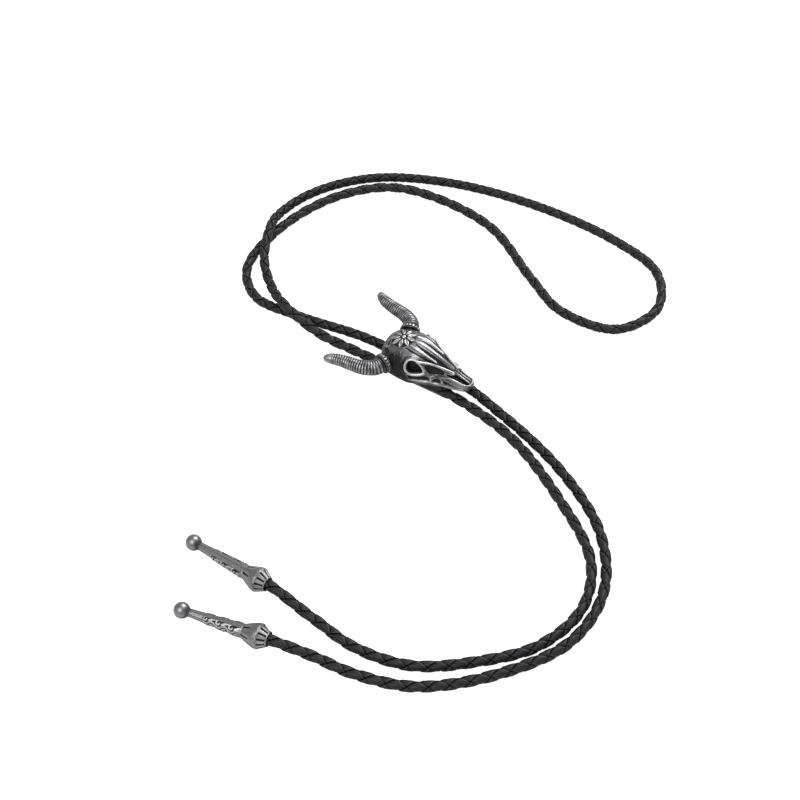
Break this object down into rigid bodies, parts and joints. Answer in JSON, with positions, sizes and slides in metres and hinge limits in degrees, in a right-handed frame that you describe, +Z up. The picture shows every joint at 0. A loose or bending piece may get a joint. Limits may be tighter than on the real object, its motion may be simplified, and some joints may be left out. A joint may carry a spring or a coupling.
{
  "type": "string tie",
  "caption": "String tie with a cast ox-skull slide, a braided leather cord laid in a loose loop and two long cast tips.",
  "frame": {"origin": "middle of the flat underside of the clip behind the slide, on the surface that the tie lies on", "axes": "+Z up, +Y from the slide to the neck loop, -Y along the skull's nose, +X to the side of the neck loop"},
  "size_m": [0.2293, 0.1924, 0.0189],
  "materials": {
    "cast_silver": "antique silver plate, dark in the recesses and rubbed bright on the edges",
    "clip_steel": "plain satin steel",
    "black_leather": "black braided laces with a soft sheen"
  },
  "bodies": {
    "root": {"skull_slide": "cast_silver", "cord_clip": "clip_steel", "cord": "black_leather", "upper_tip": "cast_silver", "lower_tip": "cast_silver"}
  },
  "joints": []
}
